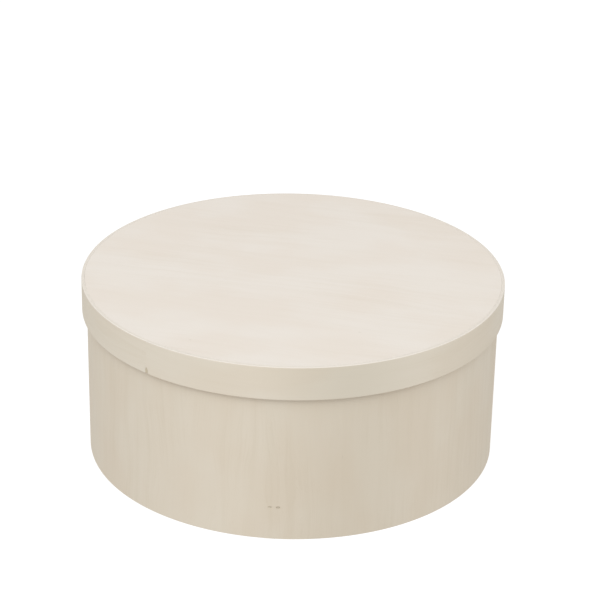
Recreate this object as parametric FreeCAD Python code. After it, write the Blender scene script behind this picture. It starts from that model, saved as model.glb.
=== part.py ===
import FreeCAD, Part
import math
import os

# Round hat box with a lift-off lid, made of thin poplar plywood.
# The wall and the lid's rim are strips bent into hoops, each with its outer end lapped over
# its inner end and glued. A flat disc is glued inside each hoop: one is the bottom, one the lid.
# Two wire staples hold the wall's lap: each crown is inside, and the legs are turned in outside.
# The lid lies on the wall's upper edge and lifts off.
#
# Millimetres, +Z up. The origin is the centre of the base, on the surface the box stands on.
# Azimuths are measured from the front, which is -Y, and grow towards the right, which is +X.

# Driving dimensions
LID_DIAMETER = 400.0        # outside of the rim hoop
TOTAL_HEIGHT = 175.0        # from the table to the top of the lid
RIM_HEIGHT = 32.0           # how tall the rim hoop is
STRIP_THICKNESS = 3.0       # plywood that both hoops are bent from
LID_CLEARANCE = 1.6         # radial gap between the rim's inside and the wall's outside
LID_DISC_THICKNESS = 4.0
BOTTOM_DISC_THICKNESS = 4.0
DISC_GLUE_GAP = 0.1         # radial gap between a disc's edge and its hoop
UPPER_EDGE_ROUND = 0.8      # sanded upper edge of a strip, where no disc is flush with it
LOWER_EDGE_ROUND = 0.3      # broken lower edge of a strip, where no disc is flush with it
DISC_EDGE_CHAMFER = 0.3     # broken edge of a disc, on its side inside the box

# The lap of each hoop: both ends of the strip are feathered, so the lap is hardly thicker
LAP_OVERLAP = 45.0          # arc from the outer end to the inner end
WALL_LAP_TIP = 0.1          # how far the wall's feathered ends stand proud, sanded nearly flush
RIM_LAP_TIP = 0.2           # how far the rim's feathered ends stand proud
LAP_RUN = 90.0              # arc over which a feathered end sinks back to the hoop's radius
LAP_EDGE_INSET = 1.0        # a feathered end stops this far from the strip's edges
LAP_ROOT = 1.0              # how deep a feathered end reaches into the strip it is glued to
LAP_SINK = 0.15             # how far a feathered end dips below the surface where it runs out
LAP_DISC_GAP = 0.5          # the inner end starts this far from the glued disc
WALL_LAP_AZIMUTH = -6.5     # where the wall's outer end is
RIM_LAP_AZIMUTH = -40.2     # where the rim's outer end is

# The chip that is broken out at the foot of the rim's lap
CHIP_WIDTH = 4.2
CHIP_HEIGHT = 7.0
CHIP_DEPTH = 0.7

# The staples across the wall's lap
STAPLE_CROWN = 11.4         # outside width
STAPLE_WIRE = 0.8           # wire diameter
STAPLE_BEND = 0.8           # bend radius at the wire's centre
STAPLE_CLENCH = 3.3         # length of each turned-in leg, from the leg's centre
STAPLE_SETBACK = 8.4        # from the lap's end to the middle of the crown
LOWER_STAPLE_HEIGHT = 32.5  # above the wall's lower edge
UPPER_STAPLE_DROP = 22.0    # below the wall's upper edge

# Sizes that follow
LID_RADIUS = LID_DIAMETER / 2
RIM_INNER_RADIUS = LID_RADIUS - STRIP_THICKNESS
WALL_RADIUS = RIM_INNER_RADIUS - LID_CLEARANCE
WALL_INNER_RADIUS = WALL_RADIUS - STRIP_THICKNESS
WALL_HEIGHT = TOTAL_HEIGHT - LID_DISC_THICKNESS
RIM_BASE = TOTAL_HEIGHT - RIM_HEIGHT

UP = FreeCAD.Vector(0, 0, 1)
ORIGIN = FreeCAD.Vector(0, 0, 0)
CURVE_STEPS = 8             # spans of the curve that a feathered end follows


def at(radius, azimuth, z=0.0):
    """The point at a radius, an azimuth in degrees and a height."""
    angle = math.radians(azimuth)
    return FreeCAD.Vector(radius * math.sin(angle), -radius * math.cos(angle), z)


def ring(inner, outer, low, high, flush):
    """A hoop of rectangular section turned about Z, its edges rounded but for the one in flush.

    flush is the height at which a disc lies level with the hoop, so its inner edge there is square.
    """
    corners = [(inner, low, 1, 1), (outer, low, -1, 1), (outer, high, -1, -1), (inner, high, 1, -1)]
    turns = []
    for index, (r, z, dr, dz) in enumerate(corners):
        corner = FreeCAD.Vector(r, 0, z)
        if r == inner and z == flush:
            turns.append((corner, None, corner))
            continue
        radius = LOWER_EDGE_ROUND if z == low else UPPER_EDGE_ROUND
        inset = radius * (1 - math.sqrt(0.5))
        along_r = corner + FreeCAD.Vector(dr * radius, 0, 0)
        along_z = corner + FreeCAD.Vector(0, 0, dz * radius)
        middle = corner + FreeCAD.Vector(dr * inset, 0, dz * inset)
        turns.append((along_z, middle, along_r) if index % 2 == 0 else (along_r, middle, along_z))
    edges = []
    for index, (start, middle, finish) in enumerate(turns):
        if middle:
            edges.append(Part.Arc(start, middle, finish).toShape())
        following = turns[(index + 1) % len(turns)][0]
        edges.append(Part.makeLine(finish, following))
    return Part.Face(Part.Wire(edges)).revolve(ORIGIN, UP, 360)


def disc(radius, flush, inside):
    """A flat round board from its flush face to the face inside the box, whose edge is broken."""
    broken = math.copysign(DISC_EDGE_CHAMFER, flush - inside)
    points = [
        (0, flush),
        (radius, flush),
        (radius, inside + broken),
        (radius - DISC_EDGE_CHAMFER, inside),
        (0, inside),
    ]
    outline = [FreeCAD.Vector(r, 0, z) for r, z in points]
    face = Part.Face(Part.makePolygon(outline + outline[:1]))
    return face.revolve(ORIGIN, UP, 360)


def feathered_end(radius, azimuth, low, high, outward, run, tip):
    """One end of a strip: proud of the hoop at its tip, and sunk into it after its run.

    outward is 1 on the hoop's outside and -1 on its inside. run is an arc length, and its
    sign is the side of the tip that the strip is on.
    """
    turn = math.degrees(run / radius)
    points = []
    for step in range(CURVE_STEPS + 1):
        share = step / CURVE_STEPS
        fall = share * share * (3 - 2 * share)
        proud = tip - (tip + LAP_SINK) * fall
        points.append(at(radius + outward * proud, azimuth + share * turn))
    surface = Part.BSplineCurve()
    surface.interpolate(points)
    root_radius = radius - outward * LAP_ROOT
    root_start = at(root_radius, azimuth)
    root_end = at(root_radius, azimuth + turn)
    root = Part.Arc(root_end, at(root_radius, azimuth + turn / 2), root_start)
    outline = Part.Wire([
        surface.toShape(),
        Part.makeLine(points[-1], root_end),
        root.toShape(),
        Part.makeLine(root_start, points[0]),
    ])
    end = Part.Face(outline)
    end.translate(UP * (low + LAP_EDGE_INSET))
    return end.extrude(UP * (high - low - 2 * LAP_EDGE_INSET))


def hoop(radius, low, high, flush, inside_low, inside_high, lap_azimuth, tip):
    """A strip bent round and glued to itself. The inside heights are what its disc leaves free."""
    inner_radius = radius - STRIP_THICKNESS
    inner_azimuth = lap_azimuth + math.degrees(LAP_OVERLAP / inner_radius)
    band = ring(inner_radius, radius, low, high, flush)
    outer_end = feathered_end(radius, lap_azimuth, low, high, 1, LAP_RUN, tip)
    inner_end = feathered_end(inner_radius, inner_azimuth, inside_low, inside_high, -1, -LAP_RUN, tip)
    return band.fuse([outer_end, inner_end]).removeSplitter()


def wall_hoop():
    """The box's wall, with the bottom disc at its foot."""
    inside_low = BOTTOM_DISC_THICKNESS + LAP_DISC_GAP - LAP_EDGE_INSET
    return hoop(
        WALL_RADIUS, 0, WALL_HEIGHT, 0, inside_low, WALL_HEIGHT, WALL_LAP_AZIMUTH, WALL_LAP_TIP
    )


def rim_hoop():
    """The lid's rim, with the lid disc at its top and a chip out of the foot of its lap."""
    inside_high = WALL_HEIGHT - LAP_DISC_GAP + LAP_EDGE_INSET
    whole = hoop(
        LID_RADIUS, RIM_BASE, TOTAL_HEIGHT, TOTAL_HEIGHT, RIM_BASE, inside_high,
        RIM_LAP_AZIMUTH, RIM_LAP_TIP
    )
    return whole.cut(chip())


def chip():
    """What is broken out at the foot of the rim's lap: a slot whose upper half narrows to a point."""
    outside = LID_RADIUS + RIM_LAP_TIP
    depth = CHIP_DEPTH + RIM_LAP_TIP
    side = at(1.0, RIM_LAP_AZIMUTH + 90) * (CHIP_WIDTH / 2)
    inward = at(1.0, RIM_LAP_AZIMUTH) * -1
    foot = at(outside, RIM_LAP_AZIMUTH, RIM_BASE)
    halfway = foot + UP * (CHIP_HEIGHT / 2)
    corners = [foot - side, foot + side, halfway + side, foot + UP * CHIP_HEIGHT, halfway - side]
    face = Part.Face(Part.makePolygon(corners + corners[:1]))
    return face.extrude(inward * depth)


def staple(height):
    """One wire staple: its crown lies inside the wall, and its legs come through and are turned in."""
    azimuth = WALL_LAP_AZIMUTH + math.degrees(STAPLE_SETBACK / WALL_RADIUS)
    outside = WALL_RADIUS + WALL_LAP_TIP
    depth = outside - WALL_INNER_RADIUS + STAPLE_WIRE / 2
    half = (STAPLE_CROWN - STAPLE_WIRE) / 2
    middle = at(outside, azimuth, height)
    across = at(1.0, azimuth + 90)
    inward = at(1.0, azimuth) * -1

    def place(u, w):
        return middle + across * u + inward * w

    inset = STAPLE_BEND * (1 - math.sqrt(0.5))
    first = place(STAPLE_CLENCH - half, 0)
    previous = first
    edges = []
    for u, w, before, after in [
        (-half, 0, (1, 0), (0, 1)),
        (-half, depth, (0, -1), (1, 0)),
        (half, depth, (-1, 0), (0, -1)),
        (half, 0, (0, 1), (-1, 0)),
    ]:
        start = place(u + before[0] * STAPLE_BEND, w + before[1] * STAPLE_BEND)
        finish = place(u + after[0] * STAPLE_BEND, w + after[1] * STAPLE_BEND)
        corner = place(u + (before[0] + after[0]) * inset, w + (before[1] + after[1]) * inset)
        edges.append(Part.makeLine(previous, start))
        edges.append(Part.Arc(start, corner, finish).toShape())
        previous = finish
    edges.append(Part.makeLine(previous, place(half - STAPLE_CLENCH, 0)))
    section = Part.Wire(Part.makeCircle(STAPLE_WIRE / 2, first, across))
    return Part.Wire(edges).makePipeShell([section], True, True)


def main():
    os.makedirs("parts", exist_ok=True)
    lower_staple = staple(LOWER_STAPLE_HEIGHT)
    upper_staple = staple(WALL_HEIGHT - UPPER_STAPLE_DROP)
    bottom_radius = WALL_INNER_RADIUS - DISC_GLUE_GAP
    lid_disc_radius = RIM_INNER_RADIUS - DISC_GLUE_GAP
    parts = {
        "wall_hoop": wall_hoop().cut([lower_staple, upper_staple]),
        "bottom_disc": disc(bottom_radius, 0, BOTTOM_DISC_THICKNESS),
        "wall_staple_lower": lower_staple,
        "wall_staple_upper": upper_staple,
        "rim_hoop": rim_hoop(),
        "lid_disc": disc(lid_disc_radius, TOTAL_HEIGHT, WALL_HEIGHT),
    }
    for name, shape in parts.items():
        shape.exportStep("parts/" + name + ".step")
        print(f"{name}: {len(shape.Solids)} solid, valid {shape.isValid()}, {shape.Volume:.1f} mm3")


main()
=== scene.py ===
import math
from collections import namedtuple

import bmesh
import bpy
from bpy.props import FloatProperty, FloatVectorProperty, PointerProperty
from mathutils import Matrix, Vector


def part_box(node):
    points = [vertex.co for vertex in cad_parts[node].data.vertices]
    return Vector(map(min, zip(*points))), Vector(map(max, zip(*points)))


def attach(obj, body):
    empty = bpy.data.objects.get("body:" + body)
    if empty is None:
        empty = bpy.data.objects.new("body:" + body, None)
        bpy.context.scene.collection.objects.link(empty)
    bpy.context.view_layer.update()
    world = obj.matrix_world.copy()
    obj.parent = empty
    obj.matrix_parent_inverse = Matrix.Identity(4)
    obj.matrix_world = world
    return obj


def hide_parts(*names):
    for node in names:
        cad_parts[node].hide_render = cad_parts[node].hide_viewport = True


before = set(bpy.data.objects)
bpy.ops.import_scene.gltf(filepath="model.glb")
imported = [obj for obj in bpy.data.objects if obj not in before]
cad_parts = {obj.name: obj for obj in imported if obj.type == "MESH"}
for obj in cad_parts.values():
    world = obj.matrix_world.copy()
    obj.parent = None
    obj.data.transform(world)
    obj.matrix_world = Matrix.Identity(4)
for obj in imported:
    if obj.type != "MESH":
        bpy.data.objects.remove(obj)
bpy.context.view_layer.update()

bl_info = {
    "name": "Plywood hat box",
    "version": (1, 0, 0),
    "blender": (4, 5, 0),
    "location": "3D View > Sidebar > Hat box",
    "description": "Builds the hoops, discs, staples and glue of a round bent-plywood hat box",
    "category": "Object",
}

MM = 0.001
TURN = 2 * math.pi
MATH = "ShaderNodeMath"
# A map range reads input 0 between inputs 1 and 2, and gives what lies between inputs 3 and 4.
MAP_RANGE = "ShaderNodeMapRange"
SMOOTH = {"interpolation_type": "SMOOTHSTEP"}
COLOUR_MIX = {"data_type": "RGBA"}

DISC_GLUE_GAP = 0.1 * MM
STAPLES = ("wall_staple_lower", "wall_staple_upper")

Hoop = namedtuple("Hoop", "radius thickness base top")


def radius_of(node):
    """The outer radius of a round CAD node that stands on the Z axis. Its seam is on +X."""
    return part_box(node)[1].x


def measured(node, disc):
    """A hoop's sizes from the frame: its disc is smaller than its inside by the glue gap."""
    low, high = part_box(node)
    radius = radius_of(node)
    return Hoop(radius, radius - radius_of(disc) - DISC_GLUE_GAP, low.z, high.z)


WALL = measured("wall_hoop", "bottom_disc")
RIM = measured("rim_hoop", "lid_disc")


def linear(code):
    """A colour given as sRGB hex, as the linear colour that a node takes."""
    channels = [int(code[i:i + 2], 16) / 255 for i in (1, 3, 5)]
    curved = [c / 12.92 if c <= 0.04045 else ((c + 0.055) / 1.055) ** 2.4 for c in channels]
    return (*curved, 1.0)


def length_property(name, description, millimetres):
    """A length that the panel shows."""
    return FloatProperty(
        name=name, description=description, default=millimetres * MM, unit="LENGTH",
    )


def angle_property(name, description, degrees):
    """An angle that the panel shows."""
    return FloatProperty(
        name=name, description=description, default=math.radians(degrees), subtype="ANGLE",
    )


def colour_property(name, description, code):
    """A colour that the panel shows."""
    return FloatVectorProperty(
        name=name, description=description, default=linear(code),
        subtype="COLOR", size=4, min=0.0, max=1.0,
    )


class HatBoxSizes(bpy.types.PropertyGroup):
    """Sizes of the bent strips and of the marks in them."""

    wall_lap: angle_property("Wall lap", "From the front to the right, to the wall's outer end", -6.5)
    rim_lap: angle_property("Rim lap", "From the front to the right, to the rim's outer end", -40.2)
    overlap: length_property("Lap length", "Arc from a strip's outer end to its inner end", 45)
    wall_tip: length_property("Wall feather", "How far the wall's feathered ends stand proud", 0.1)
    rim_tip: length_property("Rim feather", "How far the rim's feathered ends stand proud", 0.2)
    run: length_property("Feather run", "Arc over which a feathered end sinks back", 90)
    glue_line: length_property("Glue line", "Gap between the two layers of a lap", 0.04)
    upper_round: length_property("Upper edge round", "Radius of a strip's sanded upper edge", 0.8)
    lower_round: length_property("Lower edge round", "Radius of a strip's broken lower edge", 0.3)
    glued_round: length_property("Glued round", "Radius of an edge in a lap or at a disc", 0.05)
    disc_edge: length_property("Disc edge", "Width of a disc's broken edge", 0.3)
    chip_height: length_property("Chip height", "Height of the chip at the rim's lower edge", 7.0)
    chip_width: length_property("Chip width", "Width of that chip at its foot", 4.2)
    chip_depth: length_property("Chip depth", "Depth of that chip", 0.7)
    dent_spread: length_property("Dent spread", "Distance between the two dents of a staple", 7.7)
    dent_width: length_property("Dent width", "Width of each dent, along the turned-in leg", 4.8)
    dent_height: length_property("Dent height", "Height of each dent, across the leg", 2.4)
    dent_depth: length_property("Dent depth", "How far the deeper leg has pressed the wood in", 0.8)
    bead: length_property("Glue bead", "Greatest radius of the dried glue in a corner", 0.9)
    lid_grain: angle_property("Lid grain", "Turn of the lid's grain away from left to right", -14)


class HatBoxColours(bpy.types.PropertyGroup):
    """Colours of the wood, the wire and the glue."""

    wall: colour_property("Wall veneer", "Poplar of the wall's faces", "#E5DBCA")
    rim: colour_property("Rim veneer", "Poplar of the rim's faces", "#E7DECE")
    disc: colour_property("Disc veneer", "Poplar of the lid and the bottom", "#EFE8DF")
    sanded: colour_property("Sanded edge", "Face plies of an edge, sanded pale", "#EDE6DC")
    late_wood: colour_property("Late wood", "Darker bands of the veneer's figure", "#CDBFA4")
    # Painted shade: this brown on the underside of the rim's lower edge darkens the shade on the wall
    # under the rim.
    cut: colour_property("Cut edge", "The rim's lower edge, left as the knife cut it", "#BFA27C")
    core: colour_property("Core ply", "End grain of the middle ply", "#AC9B74")
    fleck: colour_property("Fleck", "Pith flecks and pin knots", "#8A6C4B")
    zinc: colour_property("Zinc", "Coating of the staple wire", "#D0C9B9")
    glue: colour_property("Glue", "Dried wood glue", "#D9C9A0")


def add(tree, kind, inputs=None, **settings):
    """Adds a node with its settings.

    An input is a value, a socket to link from, or a node whose first output is linked.
    """
    node = tree.nodes.new(kind)
    for name, value in settings.items():
        setattr(node, name, value)
    for key, value in (inputs or {}).items():
        if isinstance(value, bpy.types.Node):
            value = next(output for output in value.outputs if output.enabled)
        if isinstance(value, bpy.types.NodeSocket):
            tree.links.new(value, node.inputs[key])
        else:
            node.inputs[key].default_value = value
    return node


def lay_out(tree, in_row=12, across=220, down=260):
    """Sets the nodes out in rows, in the order they were added."""
    for index, node in enumerate(tree.nodes):
        node.location = (across * (index % in_row), -down * (index // in_row))


# Wood, wire and glue

FIGURE_SWAY = 46 * MM       # how far the figure wanders across the grain
FLECK_LENGTHWISE = 46 * MM  # size of the cells that may each hold a fleck
FLECK_CROSSWISE = 21 * MM
# Pressed or torn wood is coloured browner the deeper it lies: partly the crushed wood's own colour,
# partly painted shade in the hollow.
PRESS_SHOWS = 0.05 * MM     # wood pressed in this far begins to look brown
PRESS_FULL = 0.6 * MM       # and this far it is as brown as it gets
PRESSED_SHARE = 0.45        # which is this share of the core's colour

# A strip's stretch of painted shade, standing in for a dimmer reflection of the tent there: its
# middle, from the front to the right, its reach and its colour against the rest.
WALL_PAINTED_SHADE = (math.radians(16), math.radians(34), "#F4F3F1")
RIM_PAINTED_SHADE = (math.radians(14), math.radians(26), "#F2F2F0")


def new_material(name):
    """A material with an empty node tree, and the tree."""
    material = bpy.data.materials.new(name)
    material.use_nodes = True
    tree = material.node_tree
    tree.nodes.clear()
    return material, tree


def finish_material(tree, shader):
    """Ends a material's tree with its shader."""
    add(tree, "ShaderNodeOutputMaterial", {"Surface": shader})
    lay_out(tree)


def stretched(tree, along, across, along_mm, across_mm, seed):
    """A noise that is long along the grain and narrow across it, from 0 to 1."""
    u = add(tree, MATH, {0: along, 1: 1 / (along_mm * MM)}, operation="MULTIPLY")
    v = add(tree, MATH, {0: across, 1: 1 / (across_mm * MM)}, operation="MULTIPLY")
    place = add(tree, "ShaderNodeCombineXYZ", {0: u, 1: v, 2: seed})
    return add(tree, "ShaderNodeTexNoise", {"Vector": place, "Scale": 1.0, "Detail": 3.0})


def poplar_veneer(name, colour, seed, figure_strength, grain_turn=0.0, on_strip=False, darker=None):
    """Rotary-cut poplar, sanded and left bare.

    Its figure is very quiet: pale bands and fine streaks run with the grain and come and go,
    with short vessel lines, soft blotches and a few brown flecks. The fibres scatter light,
    so it is matt all over. Real vessels are 0.1 mm wide, and are drawn four times as wide to show.
    A strip can have one stretch of painted shade, standing in for a dimmer reflection of the tent,
    given as its middle and its reach round the hoop and its colour against the rest.
    """
    colours = bpy.context.scene.hat_box_colours
    material, tree = new_material(name)
    source = add(tree, "ShaderNodeTexCoord")
    place = source.outputs["UV" if on_strip else "Object"]
    turned = add(tree, "ShaderNodeMapping", {"Vector": place, "Rotation": (0.0, 0.0, -grain_turn)})
    axes = add(tree, "ShaderNodeSeparateXYZ", {0: turned})
    along, across = axes.outputs[0], axes.outputs[1]

    # Lengths along and across the grain are in millimetres, and each noise has its own seed.
    drift = stretched(tree, along, across, 260, 60, seed)
    sway = add(tree, MATH, {0: drift, 1: FIGURE_SWAY}, operation="MULTIPLY")
    bent = add(tree, MATH, {0: across, 1: sway}, operation="ADD")
    bands = stretched(tree, along, bent, 420, 9, seed + 3.1)
    streaks = stretched(tree, along, bent, 45, 1.3, seed + 7.7)
    vessels = stretched(tree, along, bent, 5, 0.45, seed + 11.3)
    blotches = stretched(tree, along, across, 95, 60, seed + 17.9)
    patches = stretched(tree, along, across, 150, 90, seed + 23.3)

    # Late wood takes its greatest share of the colour where a figure is above its high bound.
    strength = add(tree, MAP_RANGE, {0: patches, 1: 0.38, 2: 0.62, 3: 0.3, 4: 1.0}, **SMOOTH)
    wood = colour
    for figure, low, high, most in (
        (bands, 0.40, 0.68, 0.07),
        (streaks, 0.46, 0.72, 0.07),
        (vessels, 0.60, 0.74, 0.13),
    ):
        most_here = most * figure_strength
        share = add(tree, MAP_RANGE, {0: figure, 1: low, 2: high, 3: 0.0, 4: most_here}, **SMOOTH)
        share = add(tree, MATH, {0: share, 1: strength}, operation="MULTIPLY")
        wood = add(tree, "ShaderNodeMix", {
            "Factor": share, "A": wood, "B": colours.late_wood,
        }, **COLOUR_MIX)
    warmth = add(tree, MAP_RANGE, {0: blotches, 1: 0.35, 2: 0.65, 3: 0.0, 4: 1.0}, **SMOOTH)
    wood = add(tree, "ShaderNodeMix", {
        "Factor": warmth, "A": wood, "B": linear("#FDFBF9"),
    }, blend_type="MULTIPLY", **COLOUR_MIX)

    # Flecks are a few millimetres long and lie with the grain, one in a few of the cells.
    cell_u = add(tree, MATH, {0: along, 1: 1 / FLECK_LENGTHWISE}, operation="MULTIPLY")
    cell_v = add(tree, MATH, {0: bent, 1: 1 / FLECK_CROSSWISE}, operation="MULTIPLY")
    cell = add(tree, "ShaderNodeCombineXYZ", {0: cell_u, 1: cell_v, 2: seed})
    spots = add(tree, "ShaderNodeTexVoronoi", {"Vector": cell, "Scale": 1.0})
    near = add(tree, MAP_RANGE, {
        0: spots.outputs["Distance"], 1: 0.02, 2: 0.06, 3: 1.0, 4: 0.0,
    }, **SMOOTH)
    chosen = add(tree, "ShaderNodeSeparateColor", {0: spots.outputs["Color"]})
    rare = add(tree, MAP_RANGE, {0: chosen, 1: 0.72, 2: 0.95, 3: 0.0, 4: 0.5}, **SMOOTH)
    fleck_share = add(tree, MATH, {0: near, 1: rare}, operation="MULTIPLY")
    wood = add(tree, "ShaderNodeMix", {
        "Factor": fleck_share, "A": wood, "B": colours.fleck,
    }, **COLOUR_MIX)

    # Painted shade: a stretch fixed round the hoop is darkened where the tent's reflection would be
    # dimmer.
    if darker:
        middle, reach, shade_tone = darker
        x, y, _ = add(tree, "ShaderNodeSeparateXYZ", {0: source.outputs["Object"]}).outputs
        forward = add(tree, MATH, {0: y, 1: -1.0}, operation="MULTIPLY")
        azimuth = add(tree, MATH, {0: x, 1: forward}, operation="ARCTAN2")
        off_middle = add(tree, MATH, {0: azimuth, 1: middle}, operation="SUBTRACT")
        far = add(tree, MATH, {0: off_middle}, operation="ABSOLUTE")
        share = add(tree, MAP_RANGE, {0: far, 1: 0.0, 2: reach, 3: 1.0, 4: 0.0}, **SMOOTH)
        wood = add(tree, "ShaderNodeMix", {
            "Factor": share, "A": wood, "B": linear(shade_tone),
        }, blend_type="MULTIPLY", **COLOUR_MIX)

    if on_strip:
        # Wood that is pressed in or torn out is browner than the sanded face, and browner the deeper
        # it lies: partly its own colour, partly painted shade in the hollow.
        press = add(tree, "ShaderNodeAttribute", attribute_name="press").outputs["Fac"]
        pressed_brown_and_shade = add(tree, MAP_RANGE, {
            0: press, 1: PRESS_SHOWS, 2: PRESS_FULL, 3: 0.0, 4: PRESSED_SHARE,
        }, **SMOOTH)
        wood = add(tree, "ShaderNodeMix", {
            "Factor": pressed_brown_and_shade, "A": wood, "B": colours.core,
        }, **COLOUR_MIX)

    relief = add(tree, MATH, {0: streaks, 1: vessels}, operation="SUBTRACT")
    bump = add(tree, "ShaderNodeBump", {"Height": relief, "Strength": 0.5, "Distance": 0.05 * MM})
    rough = add(tree, MAP_RANGE, {0: streaks, 1: 0.3, 2: 0.7, 3: 0.72, 4: 0.86}, **SMOOTH)
    shader = add(tree, "ShaderNodeBsdfPrincipled", {
        "Base Color": wood, "Roughness": rough, "IOR": 1.5, "Specular IOR Level": 0.05,
        "Normal": bump,
    })
    finish_material(tree, shader)
    return material


def poplar_ply_edge(name, thickness, seed, painted_shade_below=None):
    """The sawn and sanded edge of three-ply poplar.

    Two pale face plies show side grain. The darker middle ply shows open end grain, whose
    pores are about 0.1 mm across and are drawn four times as wide to show. An edge that lies
    below painted_shade_below is painted brown as shade, which darkens the wall under the rim.
    """
    colours = bpy.context.scene.hat_box_colours
    material, tree = new_material(name)
    source = add(tree, "ShaderNodeTexCoord")
    axes = add(tree, "ShaderNodeSeparateXYZ", {0: source.outputs["UV"]})
    along, across = axes.outputs[0], axes.outputs[1]
    wander = stretched(tree, along, across, 30, 8, seed)
    shift = add(tree, MATH, {0: wander, 1: 0.3 * MM}, operation="MULTIPLY")
    depth = add(tree, MATH, {0: across, 1: shift}, operation="ADD")
    off_middle = add(tree, MATH, {0: depth, 1: thickness / 2}, operation="SUBTRACT")
    distance = add(tree, MATH, {0: off_middle}, operation="ABSOLUTE")
    core = add(tree, MAP_RANGE, {
        0: distance, 1: thickness * 0.15, 2: thickness * 0.19, 3: 0.08, 4: 0.0,
    }, **SMOOTH)
    pores = stretched(tree, along, across, 0.5, 0.4, seed + 5.0)
    open_pores = add(tree, MAP_RANGE, {0: pores, 1: 0.45, 2: 0.7, 3: 0.0, 4: 0.12}, **SMOOTH)
    wood = colours.sanded
    for share in (core, open_pores):
        wood = add(tree, "ShaderNodeMix", {
            "Factor": share, "A": wood, "B": colours.core,
        }, **COLOUR_MIX)
    # Painted shade: the underside of the rim's lower edge is coloured brown, so the shade line on the
    # wall below reads darker and browner.
    if painted_shade_below is not None:
        height = add(tree, "ShaderNodeSeparateXYZ", {0: source.outputs["Object"]}).outputs[2]
        painted_underside_shade = add(tree, MATH, {0: height, 1: painted_shade_below}, operation="LESS_THAN")
        wood = add(tree, "ShaderNodeMix", {
            "Factor": painted_underside_shade, "A": wood, "B": colours.cut,
        }, **COLOUR_MIX)
    bump = add(tree, "ShaderNodeBump", {"Height": pores, "Strength": 0.6, "Distance": 0.08 * MM})
    shader = add(tree, "ShaderNodeBsdfPrincipled", {
        "Base Color": wood, "Roughness": 0.85, "IOR": 1.5, "Specular IOR Level": 0.3,
        "Normal": bump,
    })
    finish_material(tree, shader)
    return material


def galvanised_wire():
    """Zinc-coated steel wire: a dull grey metal with a slight mottle from its coating."""
    colours = bpy.context.scene.hat_box_colours
    material, tree = new_material("galvanised_steel_wire")
    source = add(tree, "ShaderNodeTexCoord")
    mottle = add(tree, "ShaderNodeTexNoise", {
        "Vector": source.outputs["Object"], "Scale": 1 / (0.8 * MM), "Detail": 2.0,
    })
    share = add(tree, MAP_RANGE, {0: mottle, 1: 0.35, 2: 0.65, 3: 0.0, 4: 1.0}, **SMOOTH)
    zinc = add(tree, "ShaderNodeMix", {
        "Factor": share, "A": colours.zinc, "B": linear("#E2DFD8"),
    }, blend_type="MULTIPLY", **COLOUR_MIX)
    rough = add(tree, MAP_RANGE, {0: mottle, 1: 0.3, 2: 0.7, 3: 0.34, 4: 0.5}, **SMOOTH)
    shader = add(tree, "ShaderNodeBsdfPrincipled", {
        "Base Color": zinc, "Metallic": 1.0, "Roughness": rough,
    })
    finish_material(tree, shader)
    return material


def dried_glue():
    """White wood glue, dried to a hard amber film that shines a little."""
    colours = bpy.context.scene.hat_box_colours
    material, tree = new_material("dried_wood_glue")
    source = add(tree, "ShaderNodeTexCoord")
    lumps = add(tree, "ShaderNodeTexNoise", {
        "Vector": source.outputs["Object"], "Scale": 1 / (9 * MM), "Detail": 2.0,
    })
    share = add(tree, MAP_RANGE, {0: lumps, 1: 0.35, 2: 0.65, 3: 0.0, 4: 0.6}, **SMOOTH)
    film = add(tree, "ShaderNodeMix", {
        "Factor": share, "A": colours.glue, "B": linear("#F2EAD6"),
    }, **COLOUR_MIX)
    rough = add(tree, MAP_RANGE, {0: lumps, 1: 0.3, 2: 0.7, 3: 0.28, 4: 0.5}, **SMOOTH)
    shader = add(tree, "ShaderNodeBsdfPrincipled", {
        "Base Color": film, "Roughness": rough, "IOR": 1.47,
    })
    finish_material(tree, shader)
    return material


# The bent strips

ARC_STEPS = 4           # spans of a rounded edge
MIDDLE_GAP = 0.2        # an edge's flat has its first point at this share of half the thickness
COLUMN_STEP = 7 * MM    # spans of a strip's mesh, along it and up it
ROW_STEP = 8 * MM
END_REACH = 5 * MM      # the mesh is finer this close to the strip's outer end, in both layers
END_STEP = 1 * MM
DENTS_ARC = 6.4 * MM    # and this close to the middle of a staple, along the strip
DENTS_ARC_STEP = 0.35 * MM
DENTS_RISE = 2 * MM     # and up it
DENTS_RISE_STEP = 0.25 * MM
CHIP_SPANS = 16         # spans in the chip's width
CHIP_RISE_STEP = 0.5 * MM
LEAST_STEP = 0.02 * MM  # points nearer than this become one
EDGE_REACH = 1.6        # the mesh is finer this close to an edge, counted in upper edge rounds
FACE_MARGIN = 1.2       # and a face's own points keep this far from it, counted the same way
CHIP_FADE = 8 * MM      # the strip is drawn back over this arc to make the chip's slope
BACK_SHIFT = 3.0        # sets the figure of the inner face apart from the outer face's
NO_CHIP = (0.0, 1.0, 0.0)   # a chip with no width, so nothing is taken off
SHARP_ANGLE = math.radians(35)


def graded(low, high, step, marks):
    """Places from low to high, a step apart, and closer together round each mark.

    A mark is its middle, how far it reaches to each side, and the step there.
    """
    spans = round((high - low) / step)
    places = [low + (high - low) * i / spans for i in range(spans + 1)]
    for middle, reach, fine in marks:
        places = [p for p in places if abs(p - middle) > reach or p in (low, high)]
        count = round(2 * reach / fine)
        extra = [middle - reach + 2 * reach * i / count for i in range(count + 1)]
        places += [p for p in extra if low < p < high]
    places.sort()
    kept = [places[0]]
    for place in places[1:]:
        if place - kept[-1] > LEAST_STEP:
            kept.append(place)
    kept[-1] = high
    return kept


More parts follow.
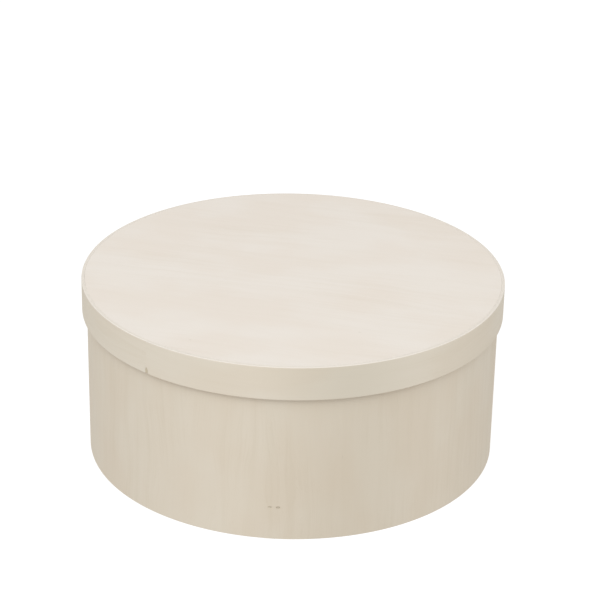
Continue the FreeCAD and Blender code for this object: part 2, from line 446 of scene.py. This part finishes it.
def half_outline(thickness, low, high, heights, low_round, high_round):
    """Half of a strip's section, from the middle of its lower edge to the middle of its upper edge.

    Each point is (depth, height), and depth is 0 in the middle of the strip and 1 on its face.
    """
    def corner(z, size, sign):
        points = []
        for step in range(ARC_STEPS + 1):
            angle = math.pi / 2 * step / ARC_STEPS
            depth = 1 - (1 - math.sin(angle)) * size / (thickness / 2)
            points.append((depth, z + sign * size * (1 - math.cos(angle))))
        return points

    faces = [(1, z) for z in heights]
    lower, upper = corner(low, low_round, 1), corner(high, high_round, -1)[::-1]
    return [(MIDDLE_GAP, low)] + lower + faces + upper + [(MIDDLE_GAP, high)]


def strip_section(thickness, low, high, heights, outer_rounds, inner_rounds):
    """The closed section of a strip as (share of thickness, height), from inner 0 to outer 1."""
    outer = half_outline(thickness, low, high, heights, *outer_rounds)
    inner = half_outline(thickness, low, high, heights, *inner_rounds)
    section = [(0.5 + depth / 2, z) for depth, z in outer]
    return section + [(0.5 - depth / 2, z) for depth, z in inner[::-1]]


def pressed_in(x, z, dents):
    """How deep the dents are at a place on a strip's outer face."""
    deepest = 0.0
    for place, height, half_width, half_height, depth in dents:
        far = ((x - place) / half_width) ** 2 + ((z - height) / half_height) ** 2
        deepest = max(deepest, depth * max(0.0, 1 - far) ** 1.5)
    return deepest


def flat_strip(name, hoop, flush, columns, rows, upright, chip, dents):
    """The mesh of a hoop's strip before it is bent.

    X is the arc from the outer end, Y the share of the thickness and Z the height. The inner
    edge at the height flush meets a disc and is square. A chip is its width, height and depth,
    and takes the lower corner off the outer end. A dent is its place, its reach and its depth.
    The grain map's first axis runs along the grain, so it is the height where the grain is
    upright.
    """
    sizes = bpy.context.scene.hat_box_sizes
    low, high = hoop.base, hoop.top
    girth = TURN * hoop.radius
    margin = FACE_MARGIN * sizes.upper_round
    heights = [z for z in rows if low + margin < z < high - margin]
    free_rounds = (sizes.lower_round, sizes.upper_round)
    chip_width, chip_height, chip_depth = chip
    vertices, press = [], []
    for x in columns:
        outer_rounds = [sizes.glued_round if x > girth else free for free in free_rounds]
        inner_rounds = [
            sizes.glued_round if x < sizes.overlap or z == flush else free
            for z, free in zip((low, high), free_rounds)
        ]
        section = strip_section(hoop.thickness, low, high, heights, outer_rounds, inner_rounds)
        for share, z in section:
            gone = chip_width / 2 * min(1.0, max(0.0, 2 - 2 * (z - low) / chip_height))
            vertices.append((x + gone * max(0.0, 1 - x / CHIP_FADE), share, z))
            pushed = 0.0
            if gone > 0 and share > 0.5:
                pushed = chip_depth * min(1.0, max(0.0, 2 * (1 - abs(x - girth) / gone)))
            if share == 1.0:
                pushed = max(pushed, pressed_in(x, z, dents))
            press.append(pushed)
    count = len(section)
    half = count // 2
    faces, edges, uvs = [], [], []

    def add_face(corners, is_edge, shift=0.0):
        faces.append(corners)
        edges.append(is_edge)
        for corner in corners:
            x, share, z = vertices[corner]
            if is_edge:
                uvs.append((x + shift, share * hoop.thickness))
            else:
                uvs.append((z + shift, x) if upright else (x + shift, z))

    for column in range(len(columns) - 1):
        here, there = column * count, (column + 1) * count
        for k in range(count):
            following = (k + 1) % count
            along = min(k, count - 2 - k) if k < count - 1 else 0
            is_edge = along < ARC_STEPS or along >= half - 1 - ARC_STEPS
            corners = (here + k, there + k, there + following, here + following)
            add_face(corners, is_edge, 0.0 if k < half else BACK_SHIFT)
    for start in (0, (len(columns) - 1) * count):
        for k in range(half - 1):
            opposite = count - 1 - k
            add_face((start + k, start + k + 1, start + opposite - 1, start + opposite), True)
    mesh = bpy.data.meshes.new(name)
    mesh.from_pydata(vertices, [], faces)
    layer = mesh.uv_layers.new(name="grain")
    layer.uv.foreach_set("vector", [value for uv in uvs for value in uv])
    mesh.attributes.new("press", "FLOAT", "POINT").data.foreach_set("value", press)
    mesh.attributes.new("edge", "BOOLEAN", "FACE").data.foreach_set("value", edges)
    mesh.shade_smooth()
    return mesh


def new_tree(name, sizes, materials):
    """Geometry nodes with a geometry in and out, and named sizes and materials as inputs."""
    tree = bpy.data.node_groups.new(name, "GeometryNodeTree")
    tree.is_modifier = True
    face = tree.interface
    face.new_socket("Geometry", in_out="OUTPUT", socket_type="NodeSocketGeometry")
    face.new_socket("Geometry", in_out="INPUT", socket_type="NodeSocketGeometry")
    for size in sizes:
        face.new_socket(size, in_out="INPUT", socket_type="NodeSocketFloat")
    for material in materials:
        face.new_socket(material, in_out="INPUT", socket_type="NodeSocketMaterial")
    return tree, add(tree, "NodeGroupInput").outputs


def bending_tree():
    """Geometry nodes that bend a flat strip into a hoop whose feathered ends lap."""
    names = ("Radius", "Thickness", "Lap Azimuth", "Overlap", "Tip", "Run", "Glue Line")
    tree, given = new_tree("bend_strip", names, ("Face Veneer", "Edge Plies"))
    position = add(tree, "GeometryNodeInputPosition")
    x, share, z = add(tree, "ShaderNodeSeparateXYZ", {0: position}).outputs
    hoop = add(tree, MATH, {0: given["Radius"], 1: TURN}, operation="MULTIPLY")
    strip_end = add(tree, MATH, {0: hoop, 1: given["Overlap"]}, operation="ADD")
    inner_radius = add(tree, MATH, {
        0: given["Radius"], 1: given["Thickness"],
    }, operation="SUBTRACT")
    half_glue = add(tree, MATH, {0: given["Glue Line"], 1: 0.5}, operation="MULTIPLY")
    under = add(tree, MATH, {0: given["Thickness"], 1: half_glue}, operation="ADD")

    # The outer face is proud at the outer end. Past a full turn it dives under that end.
    proud = add(tree, MAP_RANGE, {0: x, 1: 0.0, 2: given["Run"], 3: given["Tip"], 4: 0.0}, **SMOOTH)
    dive = add(tree, MAP_RANGE, {0: x, 1: hoop, 2: strip_end, 3: half_glue, 4: under})
    is_under = add(tree, MATH, {0: x, 1: hoop}, operation="GREATER_THAN")
    dive = add(tree, MATH, {0: dive, 1: is_under}, operation="MULTIPLY")
    outer = add(tree, MATH, {0: given["Radius"], 1: proud}, operation="ADD")
    outer = add(tree, MATH, {0: outer, 1: dive}, operation="SUBTRACT")

    # The inner face climbs over the inner end, and is proud inwards at the inner end itself.
    climb = add(tree, MAP_RANGE, {0: x, 1: 0.0, 2: given["Overlap"], 3: under, 4: half_glue})
    is_over = add(tree, MATH, {0: x, 1: given["Overlap"]}, operation="LESS_THAN")
    climb = add(tree, MATH, {0: climb, 1: is_over}, operation="MULTIPLY")
    run_start = add(tree, MATH, {0: strip_end, 1: given["Run"]}, operation="SUBTRACT")
    sunk = add(tree, MAP_RANGE, {
        0: x, 1: run_start, 2: strip_end, 3: 0.0, 4: given["Tip"],
    }, **SMOOTH)
    inner = add(tree, MATH, {0: inner_radius, 1: climb}, operation="ADD")
    inner = add(tree, MATH, {0: inner, 1: sunk}, operation="SUBTRACT")

    # A dent or a chip holds the outer face back from where it would be.
    depth = add(tree, MATH, {0: outer, 1: inner}, operation="SUBTRACT")
    depth = add(tree, MATH, {0: depth, 1: share}, operation="MULTIPLY")
    reach = add(tree, MATH, {0: inner, 1: depth}, operation="ADD")
    pressed = add(tree, "GeometryNodeInputNamedAttribute", {"Name": "press"}, data_type="FLOAT")
    floor = add(tree, MATH, {0: outer, 1: pressed}, operation="SUBTRACT")
    reach = add(tree, MATH, {0: reach, 1: floor}, operation="MINIMUM")

    turned = add(tree, MATH, {0: x, 1: given["Radius"]}, operation="DIVIDE")
    azimuth = add(tree, MATH, {0: turned, 1: given["Lap Azimuth"]}, operation="ADD")
    sine = add(tree, MATH, {0: azimuth}, operation="SINE")
    cosine = add(tree, MATH, {0: azimuth}, operation="COSINE")
    across = add(tree, MATH, {0: reach, 1: sine}, operation="MULTIPLY")
    back = add(tree, MATH, {0: reach, 1: cosine}, operation="MULTIPLY")
    forward = add(tree, MATH, {0: back, 1: -1.0}, operation="MULTIPLY")
    place = add(tree, "ShaderNodeCombineXYZ", {0: across, 1: forward, 2: z})

    bent = add(tree, "GeometryNodeSetPosition", {"Geometry": given["Geometry"], "Position": place})
    real = add(tree, "GeometryNodeRealizeInstances", {"Geometry": bent})
    faced = add(tree, "GeometryNodeSetMaterial", {
        "Geometry": real, "Material": given["Face Veneer"],
    })
    is_edge = add(tree, "GeometryNodeInputNamedAttribute", {"Name": "edge"}, data_type="BOOLEAN")
    edged = add(tree, "GeometryNodeSetMaterial", {
        "Geometry": faced, "Selection": is_edge, "Material": given["Edge Plies"],
    })
    add(tree, "NodeGroupOutput", {"Geometry": edged})
    lay_out(tree)
    return tree


def grown(name, mesh, tree, values):
    """A new object with the tree applied to the mesh, as one plain mesh."""
    piece = bpy.data.objects.new(name, mesh)
    bpy.context.scene.collection.objects.link(piece)
    modifier = piece.modifiers.new(tree.name, "NODES")
    modifier.node_group = tree
    for item in tree.interface.items_tree:
        if item.in_out == "INPUT" and item.name in values:
            modifier[item.identifier] = values[item.name]
    graph = bpy.context.evaluated_depsgraph_get()
    made = bpy.data.meshes.new_from_object(
        piece.evaluated_get(graph), preserve_all_data_layers=True, depsgraph=graph)
    piece.modifiers.clear()
    piece.data = made
    made.name = name
    return piece


def check_closed(piece):
    """Raises if the piece is open anywhere. Turns its faces outwards and keeps corners crisp."""
    body = bmesh.new()
    body.from_mesh(piece.data)
    if any(not edge.is_manifold for edge in body.edges):
        raise RuntimeError(f"{piece.name} isn't closed")
    bmesh.ops.recalc_face_normals(body, faces=body.faces)
    body.to_mesh(piece.data)
    body.free()
    piece.data.set_sharp_from_angle(angle=SHARP_ANGLE)


def stands_for(piece, node, body):
    """The piece rides on the body in place of its CAD node."""
    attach(piece, body)
    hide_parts(node)


def bent_hoop(name, hoop, flush, lap, tip, materials, column_marks, row_marks,
              upright=False, chip=NO_CHIP, dents=()):
    """A hoop's strip, bent. Its mesh is finer at the marks, at its edges and where it laps."""
    sizes = bpy.context.scene.hat_box_sizes
    girth = TURN * hoop.radius
    edge_reach = EDGE_REACH * sizes.upper_round
    lap_marks = [(x, END_REACH, END_STEP) for x in (0, girth)]
    edge_marks = [(z, edge_reach, sizes.upper_round / 2) for z in (hoop.base, hoop.top)]
    columns = graded(0, girth + sizes.overlap, COLUMN_STEP, lap_marks + column_marks)
    rows = graded(hoop.base, hoop.top, ROW_STEP, edge_marks + row_marks)
    flat = flat_strip(name + "_flat", hoop, flush, columns, rows, upright, chip, dents)
    tree = bpy.data.node_groups.get("bend_strip") or bending_tree()
    veneer, edge_plies = materials
    piece = grown(name, flat, tree, {
        "Radius": hoop.radius, "Thickness": hoop.thickness, "Lap Azimuth": lap,
        "Overlap": sizes.overlap, "Tip": tip, "Run": sizes.run, "Glue Line": sizes.glue_line,
        "Face Veneer": veneer, "Edge Plies": edge_plies,
    })
    check_closed(piece)
    return piece


class HATBOX_OT_bend_wall(bpy.types.Operator):
    """Bends the wall's strip into its hoop, pressed in where the staples bite"""

    bl_idname = "hat_box.bend_wall"
    bl_label = "Bend the wall"

    def execute(self, context):
        sizes, colours = context.scene.hat_box_sizes, context.scene.hat_box_colours
        veneer = poplar_veneer("poplar_veneer_upright", colours.wall, seed=2.0,
                               figure_strength=1.35, on_strip=True, darker=WALL_PAINTED_SHADE)
        edge = poplar_ply_edge("poplar_ply_edge_wall", WALL.thickness, seed=4.0)
        dents, row_marks = [], []
        for node in STAPLES:
            low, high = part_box(node)
            middle = (low + high) / 2
            place = (math.atan2(middle.x, -middle.y) - sizes.wall_lap) * WALL.radius
            row_marks.append((middle.z, DENTS_RISE, DENTS_RISE_STEP))
            for side, depth_share in ((-1, 0.5), (1, 1.0)):
                dents.append((place + side * sizes.dent_spread / 2, middle.z, sizes.dent_width / 2,
                              sizes.dent_height / 2, sizes.dent_depth * depth_share))
        # One staple is straight above the other, so the same columns serve both.
        column_marks = [(place, DENTS_ARC, DENTS_ARC_STEP)]
        wall = bent_hoop("wall_strip", WALL, WALL.base, sizes.wall_lap, sizes.wall_tip,
                         (veneer, edge), column_marks, row_marks, upright=True, dents=dents)
        stands_for(wall, "wall_hoop", "box")
        return {"FINISHED"}


class HATBOX_OT_bend_rim(bpy.types.Operator):
    """Bends the rim's strip into its hoop, with the chip at the foot of its lap"""

    bl_idname = "hat_box.bend_rim"
    bl_label = "Bend the rim"

    def execute(self, context):
        sizes, colours = context.scene.hat_box_sizes, context.scene.hat_box_colours
        veneer = poplar_veneer("poplar_veneer_lengthwise", colours.rim, seed=9.0,
                               figure_strength=1.1, on_strip=True, darker=RIM_PAINTED_SHADE)
        edge = poplar_ply_edge("poplar_ply_edge_rim", RIM.thickness, seed=14.0,
                               painted_shade_below=RIM.base + sizes.lower_round / 2)
        chip = (sizes.chip_width, sizes.chip_height, sizes.chip_depth)
        column_marks = [(TURN * RIM.radius, sizes.chip_width, sizes.chip_width / CHIP_SPANS)]
        chip_middle = RIM.base + sizes.chip_height / 2
        row_marks = [(chip_middle, sizes.chip_height / 2, CHIP_RISE_STEP)]
        rim = bent_hoop("rim_strip", RIM, RIM.top, sizes.rim_lap, sizes.rim_tip,
                        (veneer, edge), column_marks, row_marks, chip=chip)
        stands_for(rim, "rim_hoop", "lid")
        return {"FINISHED"}


# The flat discs

DISC_SEGMENTS = 256
DISC_SUPPORT = 0.4 * MM     # a ring of points this far inside a disc's broken edge keeps it flat


def turned_disc(name, radius, flush, inside, materials):
    """A round board turned about Z, from its flush face to the face inside the box.

    Its edge shows the plies, and is broken on the side inside the box.
    """
    sizes = bpy.context.scene.hat_box_sizes
    up = math.copysign(1, inside - flush)
    square, cut = sizes.glued_round, sizes.disc_edge
    support = radius - cut - DISC_SUPPORT
    outline = [(support, flush), (radius - square, flush), (radius, flush + up * square),
               (radius, inside - up * cut), (radius - cut, inside), (support, inside)]
    vertices = []
    for step in range(DISC_SEGMENTS):
        angle = TURN * step / DISC_SEGMENTS
        vertices += [(r * math.sin(angle), -r * math.cos(angle), z) for r, z in outline]
    rings = len(outline)
    poles = (len(vertices), len(vertices) + 1)
    vertices += [(0, 0, flush), (0, 0, inside)]
    faces, slots, uvs = [], [], []

    def add_face(corners, is_edge, step):
        faces.append(corners)
        slots.append(int(is_edge))
        for corner in corners:
            x, y, z = vertices[corner]
            turned = step + (corner // rings != step % DISC_SEGMENTS and corner not in poles)
            arc = turned / DISC_SEGMENTS * TURN * radius
            uvs.append((arc, abs(z - flush)) if is_edge else (x, y))

    for step in range(DISC_SEGMENTS):
        here, there = step * rings, (step + 1) % DISC_SEGMENTS * rings
        for ring in range(rings - 1):
            is_edge = 0 < ring < rings - 2
            corners = (here + ring, there + ring, there + ring + 1, here + ring + 1)
            add_face(corners, is_edge, step)
        add_face((poles[0], there, here), False, step)
        add_face((here + rings - 1, there + rings - 1, poles[1]), False, step)
    mesh = bpy.data.meshes.new(name)
    mesh.from_pydata(vertices, [], faces)
    layer = mesh.uv_layers.new(name="grain")
    layer.uv.foreach_set("vector", [value for uv in uvs for value in uv])
    for material in materials:
        mesh.materials.append(material)
    mesh.polygons.foreach_set("material_index", slots)
    mesh.shade_smooth()
    piece = bpy.data.objects.new(name, mesh)
    bpy.context.scene.collection.objects.link(piece)
    check_closed(piece)
    return piece


class HATBOX_OT_cut_discs(bpy.types.Operator):
    """Cuts the bottom disc and the lid disc from plywood"""

    bl_idname = "hat_box.cut_discs"
    bl_label = "Cut the discs"

    def execute(self, context):
        sizes, colours = context.scene.hat_box_sizes, context.scene.hat_box_colours
        low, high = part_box("bottom_disc")
        lid_low, lid_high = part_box("lid_disc")
        for node, body, flush, inside, seed, grain in (
            ("bottom_disc", "box", low.z, high.z, 23.0, 0.0),
            ("lid_disc", "lid", lid_high.z, lid_low.z, 31.0, sizes.lid_grain),
        ):
            veneer = poplar_veneer("poplar_veneer_" + node, colours.disc, seed, 0.75, grain)
            edge = poplar_ply_edge("poplar_ply_edge_" + node, abs(flush - inside), seed + 2)
            name, radius = node + "_board", radius_of(node)
            disc = turned_disc(name, radius, flush, inside, (veneer, edge))
            stands_for(disc, node, body)
        return {"FINISHED"}


# The dried glue

BEAD_STEPS = 480            # spans of a bead round its hoop
LUMP_LENGTH = 14 * MM       # size of the lumps along a bead


def glue_tree():
    """Geometry nodes that run an uneven bead of glue round a corner.

    The bead's section is a quarter of a circle whose centre is in the corner. It spans a
    quarter turn from Start Angle, where a quarter turn points down and a half turn points inwards.
    """
    names = ("Radius", "Height", "Bead", "Start Angle", "Lump Length", "Seed")
    tree, given = new_tree("run_glue", names, ("Glue",))
    path = add(tree, "GeometryNodeCurvePrimitiveCircle", {
        "Resolution": BEAD_STEPS, "Radius": given["Radius"],
    })
    upright = add(tree, "GeometryNodeSetCurveNormal", {"Curve": path}, mode="Z_UP")
    lump = add(tree, MATH, {0: 1.0, 1: given["Lump Length"]}, operation="DIVIDE")
    noise = add(tree, "ShaderNodeTexNoise", {
        "W": given["Seed"], "Scale": lump, "Detail": 2.0,
    }, noise_dimensions="4D")
    swell = add(tree, MAP_RANGE, {0: noise, 1: 0.32, 2: 0.68, 3: 0.45, 4: 1.0}, **SMOOTH)
    size = add(tree, MATH, {0: given["Bead"], 1: swell}, operation="MULTIPLY")
    section = add(tree, "GeometryNodeCurveArc", {
        "Resolution": 6, "Radius": 1.0, "Start Angle": given["Start Angle"],
        "Sweep Angle": TURN / 4, "Connect Center": True,
    })
    bead = add(tree, "GeometryNodeCurveToMesh", {
        "Curve": upright, "Profile Curve": section, "Scale": size,
    })
    lift = add(tree, "ShaderNodeCombineXYZ", {2: given["Height"]})
    lifted = add(tree, "GeometryNodeSetPosition", {"Geometry": bead, "Offset": lift})
    real = add(tree, "GeometryNodeRealizeInstances", {"Geometry": lifted})
    glued = add(tree, "GeometryNodeSetMaterial", {"Geometry": real, "Material": given["Glue"]})
    add(tree, "NodeGroupOutput", {"Geometry": glued})
    lay_out(tree)
    return tree


class HATBOX_OT_run_glue(bpy.types.Operator):
    """Runs a bead of glue round the inside corner of the box and of the lid"""

    bl_idname = "hat_box.run_glue"
    bl_label = "Run the glue"

    def execute(self, context):
        sizes = context.scene.hat_box_sizes
        glue = dried_glue()
        tree = glue_tree()
        floor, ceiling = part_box("bottom_disc")[1].z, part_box("lid_disc")[0].z
        for name, body, hoop, height, start, seed in (
            ("bottom_glue", "box", WALL, floor, TURN / 2, 1.0),
            ("lid_glue", "lid", RIM, ceiling, TURN / 4, 2.0),
        ):
            bead = grown(name + "_bead", bpy.data.meshes.new(name), tree, {
                "Radius": hoop.radius - hoop.thickness, "Height": height, "Bead": sizes.bead,
                "Start Angle": start, "Lump Length": LUMP_LENGTH, "Seed": seed, "Glue": glue,
            })
            check_closed(bead)
            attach(bead, body)
        return {"FINISHED"}


class HATBOX_OT_plate_staples(bpy.types.Operator):
    """Gives the two wire staples their zinc"""

    bl_idname = "hat_box.plate_staples"
    bl_label = "Plate the staples"

    def execute(self, context):
        zinc = galvanised_wire()
        for node in STAPLES:
            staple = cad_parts[node]
            if not staple.material_slots:
                raise RuntimeError(f"{node} has no material slot")
            for slot in staple.material_slots:
                slot.link = "OBJECT"
                slot.material = zinc
        return {"FINISHED"}


# The stage

UPPER_GLOW = 0.89       # of the light tent
LOWER_GLOW = 0.64
BACK_GLOW = 0.72        # of the tent's back, against its front
PAPER_GLOW = 0.85       # of the paper under the box
LAMP_DISTANCE = 2.6     # metres from the middle of the box
LAMP_SIZE = 1.6         # metres across
KEY_POWER = 14          # watts
FILL_POWER = 3.2
FLOOR_REACH = 14.0      # metres from the middle of the floor to its sides
FLOOR_DROP = 0.05 * MM  # keeps the floor clear of the box's underside
CAMERA_PLACE = (0, -1.8464, 1.0052)
CAMERA_LENS = 128.18    # mm, for a sensor 36 mm wide
CAMERA_PAN = math.radians(0.21)
CAMERA_TILT = math.radians(24.94)
CAMERA_ROLL = math.radians(1.10)


def aimed(thing, target):
    """Turns a light to face the target."""
    thing.rotation_euler = (Vector(target) - thing.location).to_track_quat("-Z", "Y").to_euler()


def soft_light(name, azimuth, elevation, power):
    """A round soft light over the box: azimuth is from the front to the right, both in degrees."""
    lamp = bpy.data.lights.new(name, "AREA")
    lamp.shape = "DISK"
    lamp.size = LAMP_SIZE
    lamp.energy = power
    light = bpy.data.objects.new(name, lamp)
    turn, rise = math.radians(azimuth), math.radians(elevation)
    middle = Vector((0, 0, RIM.top / 2))
    out = Vector((
        math.cos(rise) * math.sin(turn), -math.cos(rise) * math.cos(turn), math.sin(rise),
    ))
    light.location = middle + LAMP_DISTANCE * out
    bpy.context.scene.collection.objects.link(light)
    aimed(light, middle)


def lit_paper():
    """Lit white paper under the box: it glows, so that no shadow shows on it."""
    material, tree = new_material("lit_white_paper")
    paper = add(tree, "ShaderNodeBsdfDiffuse", {"Color": linear("#8A8A8A")})
    glow = add(tree, "ShaderNodeEmission", {"Color": linear("#FFFFFF"), "Strength": PAPER_GLOW})
    both = add(tree, "ShaderNodeAddShader", {0: paper, 1: glow})
    finish_material(tree, both)
    return material


def light_tent():
    """A tent of white cloth round the table: it glows most at the top, and less behind the box."""
    world = bpy.data.worlds.new("light_tent")
    world.use_nodes = True
    tree = world.node_tree
    tree.nodes.clear()
    source = add(tree, "ShaderNodeTexCoord")
    axes = add(tree, "ShaderNodeSeparateXYZ", {0: source.outputs["Generated"]})
    _, backward, upward = axes.outputs
    height = add(tree, MAP_RANGE, {
        0: upward, 1: -0.12, 2: 0.12, 3: LOWER_GLOW, 4: UPPER_GLOW,
    }, **SMOOTH)
    side = add(tree, MAP_RANGE, {0: backward, 1: -0.3, 2: 0.5, 3: 1.0, 4: BACK_GLOW}, **SMOOTH)
    strength = add(tree, MATH, {0: height, 1: side}, operation="MULTIPLY")
    cloth = add(tree, "ShaderNodeBackground", {"Color": linear("#FFFFFF"), "Strength": strength})
    add(tree, "ShaderNodeOutputWorld", {"Surface": cloth})
    lay_out(tree)
    return world


class HATBOX_OT_set_stage(bpy.types.Operator):
    """Lays the floor, hangs the lights and places the camera"""

    bl_idname = "hat_box.set_stage"
    bl_label = "Set the stage"

    def execute(self, context):
        scene = context.scene
        corners = [
            (x * FLOOR_REACH, y * FLOOR_REACH, -FLOOR_DROP)
            for x, y in ((-1, -1), (1, -1), (1, 1), (-1, 1))
        ]
        mesh = bpy.data.meshes.new("floor")
        mesh.from_pydata(corners, [], [(0, 1, 2, 3)])
        mesh.materials.append(lit_paper())
        floor = bpy.data.objects.new("floor", mesh)
        # The paper's own glow would light the wall from below more than the tent does.
        floor.visible_diffuse = False
        floor.visible_shadow = False
        scene.collection.objects.link(floor)

        soft_light("key", azimuth=-20, elevation=50, power=KEY_POWER)
        soft_light("fill", azimuth=50, elevation=34, power=FILL_POWER)
        scene.world = light_tent()
        scene.view_settings.view_transform = "Standard"

        lens = bpy.data.cameras.new("camera")
        lens.lens = CAMERA_LENS
        lens.sensor_width = 36
        lens.clip_start = 0.05
        lens.clip_end = 100
        camera = bpy.data.objects.new("camera", lens)
        pan = Matrix.Rotation(-CAMERA_PAN, 4, "Z")
        tilt = Matrix.Rotation(math.pi / 2 - CAMERA_TILT, 4, "X")
        roll = Matrix.Rotation(CAMERA_ROLL, 4, "Z")
        camera.matrix_world = Matrix.Translation(CAMERA_PLACE) @ pan @ tilt @ roll
        scene.collection.objects.link(camera)
        scene.camera = camera
        return {"FINISHED"}


class HATBOX_PT_maker(bpy.types.Panel):
    """Lists the steps that build the hat box"""

    bl_idname = "HATBOX_PT_maker"
    bl_label = "Hat box"
    bl_space_type = "VIEW_3D"
    bl_region_type = "UI"
    bl_category = "Hat box"

    def draw(self, context):
        for operator in OPERATORS:
            self.layout.operator(operator.bl_idname)
        for group in (context.scene.hat_box_sizes, context.scene.hat_box_colours):
            column = self.layout.column()
            for name in group.__annotations__:
                column.prop(group, name)


OPERATORS = (
    HATBOX_OT_bend_wall,
    HATBOX_OT_bend_rim,
    HATBOX_OT_cut_discs,
    HATBOX_OT_run_glue,
    HATBOX_OT_plate_staples,
    HATBOX_OT_set_stage,
)
CLASSES = (HatBoxSizes, HatBoxColours, *OPERATORS, HATBOX_PT_maker)


def register():
    for cls in CLASSES:
        bpy.utils.register_class(cls)
    bpy.types.Scene.hat_box_sizes = PointerProperty(type=HatBoxSizes)
    bpy.types.Scene.hat_box_colours = PointerProperty(type=HatBoxColours)


def unregister():
    del bpy.types.Scene.hat_box_colours
    del bpy.types.Scene.hat_box_sizes
    for cls in reversed(CLASSES):
        bpy.utils.unregister_class(cls)


def main():
    register()
    bpy.ops.hat_box.bend_wall()
    bpy.ops.hat_box.bend_rim()
    bpy.ops.hat_box.cut_discs()
    bpy.ops.hat_box.run_glue()
    bpy.ops.hat_box.plate_staples()
    bpy.ops.hat_box.set_stage()


if __name__ == "__main__":
    main()
